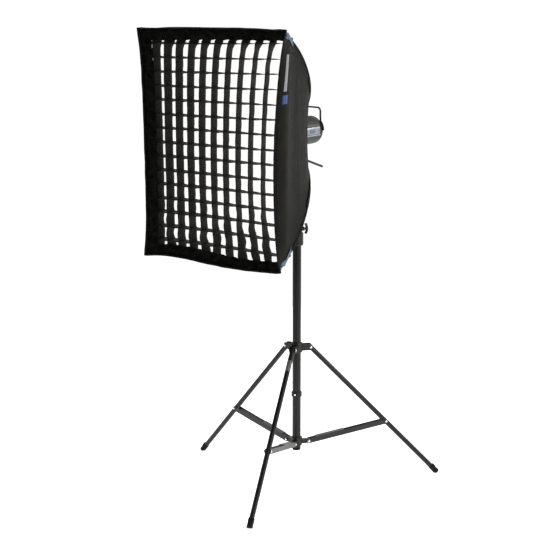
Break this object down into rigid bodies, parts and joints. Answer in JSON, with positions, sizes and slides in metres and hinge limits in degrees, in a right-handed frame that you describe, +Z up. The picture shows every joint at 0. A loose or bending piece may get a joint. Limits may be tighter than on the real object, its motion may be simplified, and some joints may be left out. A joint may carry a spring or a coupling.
{
  "type": "studio softbox on light stand",
  "caption": "Rectangular studio softbox with a fabric egg-crate grid on a compact flash head, tilting bracket and folding three-legged light stand.",
  "frame": {"origin": "on the floor, at the centre of the whole object's footprint", "axes": "+Z up along the column; the softbox faces -Y"},
  "size_m": [1.012, 1.0265, 1.835],
  "materials": {
    "satin_black_tube": "satin powder coat",
    "rubber": "matt moulded rubber",
    "painted_steel": "satin black paint",
    "black_plastic": "fine moulded grain",
    "bright_steel": "polished",
    "aluminium": "satin",
    "spring_steel": "drawn wire",
    "black_nylon": "coated woven nylon",
    "blue_webbing": "woven binding",
    "head_paint": "satin dark grey",
    "silver_trim": "brushed",
    "lamp_glass": "clear glass",
    "frosted_glass": "frosted",
    "circuit_board": "solder mask",
    "capacitor_can": "shrink sleeve",
    "dial_grey": "moulded",
    "switch_red": "moulded",
    "white_nylon": "white diffusion cloth",
    "grid_cloth": "stiff black ripstop",
    "label_cloth": "plain woven strip"
  },
  "bodies": {
    "column": {"base_tube": "satin_black_tube", "base_plug": "rubber", "lower_hub": "painted_steel", "stop_ring": "black_plastic", "stop_ring_screw": "bright_steel", "top_collar": "black_plastic"},
    "spider": {"leg_collar": "painted_steel"},
    "leg_1": {"leg_1": "satin_black_tube", "foot_1": "rubber"},
    "leg_2": {"leg_2": "satin_black_tube", "foot_2": "rubber"},
    "leg_3": {"leg_3": "satin_black_tube", "foot_3": "rubber"},
    "stretcher_1": {"stretcher_1": "aluminium"},
    "stretcher_2": {"stretcher_2": "aluminium"},
    "stretcher_3": {"stretcher_3": "aluminium"},
    "lower_knob": {"clamp_knob_lower": "black_plastic"},
    "middle_section": {"middle_tube": "satin_black_tube", "middle_collar": "black_plastic"},
    "upper_knob": {"clamp_knob_upper": "black_plastic"},
    "top_section": {"top_tube": "satin_black_tube"},
    "bracket": {"bracket_socket": "black_plastic", "tilt_bolt": "bright_steel"},
    "bracket_knob": {"bracket_knob": "black_plastic"},
    "tilt_lever": {"tilt_lever": "black_plastic"},
    "flash_head": {"head_foot": "black_plastic", "head_housing": "head_paint", "head_mount": "aluminium", "rear_panel": "black_plastic", "carry_handle": "black_plastic", "side_trim_left": "silver_trim", "side_trim_right": "silver_trim", "mains_inlet": "black_plastic", "flash_tube": "lamp_glass", "modelling_lamp": "lamp_glass", "glass_dome": "frosted_glass", "circuit_board": "circuit_board", "capacitor": "capacitor_can"},
    "power_dial": {"power_dial": "dial_grey"},
    "test_button": {"test_button": "switch_red"},
    "lamp_switch": {"lamp_switch": "black_plastic"},
    "softbox": {"speed_ring": "aluminium", "rod_upper_right": "spring_steel", "rod_upper_left": "spring_steel", "rod_lower_left": "spring_steel", "rod_lower_right": "spring_steel", "panel_top": "black_nylon", "panel_bottom": "black_nylon", "panel_right": "black_nylon", "panel_left": "black_nylon", "corner_trim_upper_right": "blue_webbing", "corner_trim_upper_left": "blue_webbing", "corner_trim_lower_left": "blue_webbing", "corner_trim_lower_right": "blue_webbing", "inner_baffle": "white_nylon", "front_diffuser": "white_nylon", "egg_crate_grid": "grid_cloth", "side_label": "label_cloth"}
  },
  "joints": [
    {"name": "collar_slide", "type": "slide", "parent": "column", "child": "spider", "axis": [0, 0, 1], "range_m": [0, 0.3896]},
    {"name": "leg_hinge_1", "type": "hinge", "parent": "spider", "child": "leg_1", "pos_m": [0.1121, 0.12658, 0.55798], "axis": [-0.6997, 0.7145, 0], "range_deg": [0, 41.57]},
    {"name": "stretcher_hinge_1", "type": "hinge", "parent": "column", "child": "stretcher_1", "pos_m": [0.10781, 0.12238, 0.17], "axis": [0.6997, -0.7145, 0], "range_deg": [0, 74.39]},
    {"name": "leg_hinge_2", "type": "hinge", "parent": "spider", "child": "leg_2", "pos_m": [0.01983, 0.10289, 0.55798], "axis": [-0.2689, -0.9632, 0], "range_deg": [0, 41.57]},
    {"name": "stretcher_hinge_2", "type": "hinge", "parent": "column", "child": "stretcher_2", "pos_m": [0.02561, 0.10128, 0.17], "axis": [0.2689, 0.9632, 0], "range_deg": [0, 74.39]},
    {"name": "leg_hinge_3", "type": "hinge", "parent": "spider", "child": "leg_3", "pos_m": [0.08648, 0.03483, 0.55798], "axis": [0.9686, 0.2487, 0], "range_deg": [0, 41.57]},
    {"name": "stretcher_hinge_3", "type": "hinge", "parent": "column", "child": "stretcher_3", "pos_m": [0.08499, 0.04064, 0.17], "axis": [-0.9686, -0.2487, 0], "range_deg": [0, 74.39]},
    {"name": "lower_knob_turn", "type": "hinge", "parent": "column", "child": "lower_knob", "pos_m": [0.09208, 0.11108, 1.034], "axis": [0.6428, 0.766, 0], "range_deg": [0, 360]},
    {"name": "middle_slide", "type": "slide", "parent": "column", "child": "middle_section", "axis": [0, 0, 1], "range_m": [-0.01, 0.6]},
    {"name": "upper_knob_turn", "type": "hinge", "parent": "middle_section", "child": "upper_knob", "pos_m": [0.09208, 0.11108, 1.106], "axis": [0.6428, 0.766, 0], "range_deg": [0, 360]},
    {"name": "top_slide", "type": "slide", "parent": "middle_section", "child": "top_section", "axis": [0, 0, 1], "range_m": [-0.03, 0.55]},
    {"name": "bracket_pan", "type": "hinge", "parent": "top_section", "child": "bracket", "pos_m": [0.0728, 0.0881, 1.233], "axis": [0, 0, 1], "continuous": true},
    {"name": "bracket_knob_turn", "type": "hinge", "parent": "bracket", "child": "bracket_knob", "pos_m": [0.0428, 0.0881, 1.233], "axis": [-1, 0, 0], "range_deg": [0, 360]},
    {"name": "head_tilt", "type": "hinge", "parent": "bracket", "child": "flash_head", "pos_m": [0.0728, 0.0881, 1.311], "axis": [1, 0, 0], "range_deg": [-45, 45]},
    {"name": "lever_turn", "type": "hinge", "parent": "bracket", "child": "tilt_lever", "pos_m": [0.0988, 0.0881, 1.311], "axis": [1, 0, 0], "range_deg": [-60, 5]},
    {"name": "softbox_turn", "type": "hinge", "parent": "flash_head", "child": "softbox", "pos_m": [0.0728, -0.0319, 1.416], "axis": [0, 1, 0], "continuous": true},
    {"name": "dial_turn", "type": "hinge", "parent": "flash_head", "child": "power_dial", "pos_m": [0.0508, 0.2021, 1.434], "axis": [0, 1, 0], "range_deg": [-135, 135]},
    {"name": "button_press", "type": "slide", "parent": "flash_head", "child": "test_button", "axis": [0, -1, 0], "range_m": [0, 0.002], "stiffness_N_per_m": 400},
    {"name": "switch_rock", "type": "hinge", "parent": "flash_head", "child": "lamp_switch", "pos_m": [0.0948, 0.1961, 1.414], "axis": [1, 0, 0], "range_deg": [0, 8]}
  ],
  "couplings": [
    {"joint": "leg_hinge_1", "follows": "collar_slide", "rad_per_m": 1.8618},
    {"joint": "stretcher_hinge_1", "follows": "collar_slide", "rad_per_m": 3.3323},
    {"joint": "leg_hinge_2", "follows": "collar_slide", "rad_per_m": 1.8618},
    {"joint": "stretcher_hinge_2", "follows": "collar_slide", "rad_per_m": 3.3323},
    {"joint": "leg_hinge_3", "follows": "collar_slide", "rad_per_m": 1.8618},
    {"joint": "stretcher_hinge_3", "follows": "collar_slide", "rad_per_m": 3.3323}
  ]
}
